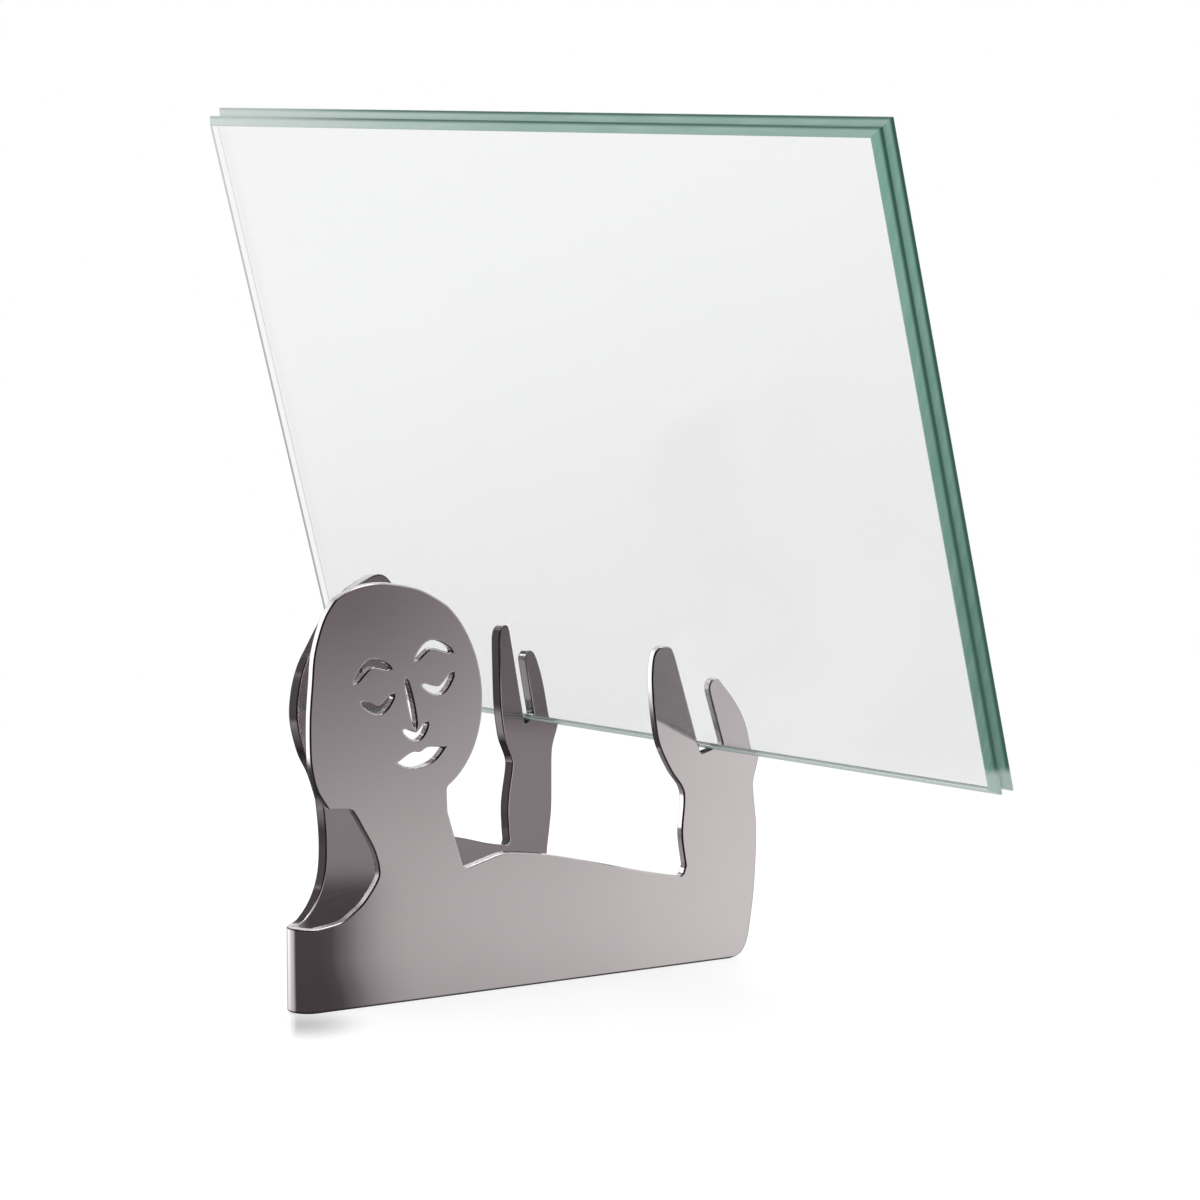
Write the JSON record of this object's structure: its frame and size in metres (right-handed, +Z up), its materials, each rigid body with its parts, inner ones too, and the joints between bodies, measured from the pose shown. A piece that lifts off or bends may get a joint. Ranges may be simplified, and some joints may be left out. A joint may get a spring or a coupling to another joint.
{
  "type": "photo holder",
  "caption": "Folded plate cut as figures whose raised hands hold leaning bevelled glass panes for a photo.",
  "frame": {"origin": "on the table, under the middle of the plate's thickness at the fold", "axes": "+X along the middle of the V from the fold towards the hands, +Y along the width of the panes, +Z up"},
  "size_m": [0.0977, 0.1789, 0.166],
  "materials": {
    "plate": "mirror-polished, faint smoke grey",
    "pane_glass": "clear float glass with ground, polished bevels"
  },
  "bodies": {
    "stand": {"figure_stand": "plate"},
    "figure_side_pane": {"figure_side_pane": "pane_glass"},
    "viewer_side_pane": {"viewer_side_pane": "pane_glass"}
  },
  "joints": [
    {"name": "figure_side_lift", "type": "slide", "parent": "stand", "child": "figure_side_pane", "axis": [-0.2807, 0, 0.9598], "range_m": [0, 0.04]},
    {"name": "viewer_side_lift", "type": "slide", "parent": "stand", "child": "viewer_side_pane", "axis": [-0.2807, 0, 0.9598], "range_m": [0, 0.04]}
  ]
}
